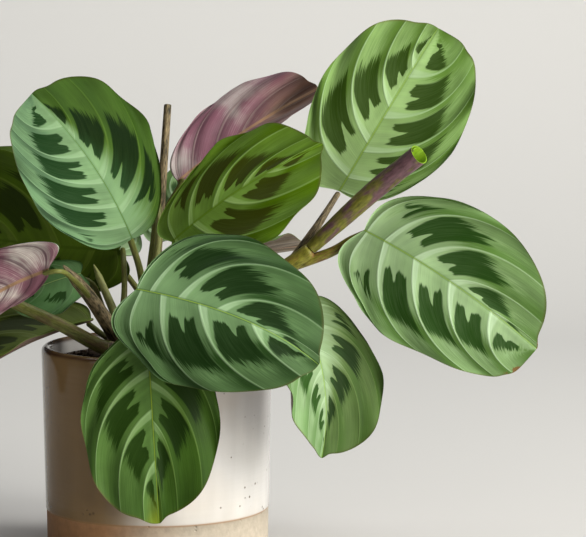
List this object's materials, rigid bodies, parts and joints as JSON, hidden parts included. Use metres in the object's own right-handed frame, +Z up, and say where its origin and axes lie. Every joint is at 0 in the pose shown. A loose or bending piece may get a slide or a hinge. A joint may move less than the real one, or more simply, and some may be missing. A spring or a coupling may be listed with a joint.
{
  "type": "potted prayer plant",
  "caption": "Potted prayer plant with broad waved oval leaves on slender stalks, rooted in soil in a round glazed stoneware pot.",
  "frame": {"origin": "middle of the pot's flat base, where it stands", "axes": "+Z up along the pot's axis, -Y towards the side that the leaves face"},
  "size_m": [0.4226, 0.2337, 0.3026],
  "materials": {
    "glaze": "glossy off-white glaze over tan stoneware, bare clay at the foot",
    "soil": "damp crumbly potting soil",
    "stalk": "dry satin, olive to brown",
    "leaf": "satin leaf, pale green with dark blotches above and purple below"
  },
  "bodies": {
    "root": {"pot": "glaze", "soil": "soil", "shoot_left": "stalk", "shoot_low_left": "stalk", "shoot_centre": "stalk", "shoot_right": "stalk", "shoot_front": "stalk", "shoot_back": "stalk", "leaf_upper_left": "leaf", "leaf_front": "leaf", "leaf_hanging_front": "leaf", "leaf_hanging_right": "leaf", "leaf_right": "leaf", "leaf_upper_right": "leaf", "leaf_upper_middle": "leaf", "leaf_furled_top": "leaf", "leaf_folded_left": "leaf", "leaf_left": "leaf", "leaf_low_left": "leaf", "leaf_small_left": "leaf", "leaf_far_left": "leaf", "leaf_back_right": "leaf", "leaf_back_upper": "leaf", "leaf_back_left": "leaf", "leaf_back_hanging": "leaf", "rolled_leaf": "leaf"}
  },
  "joints": []
}
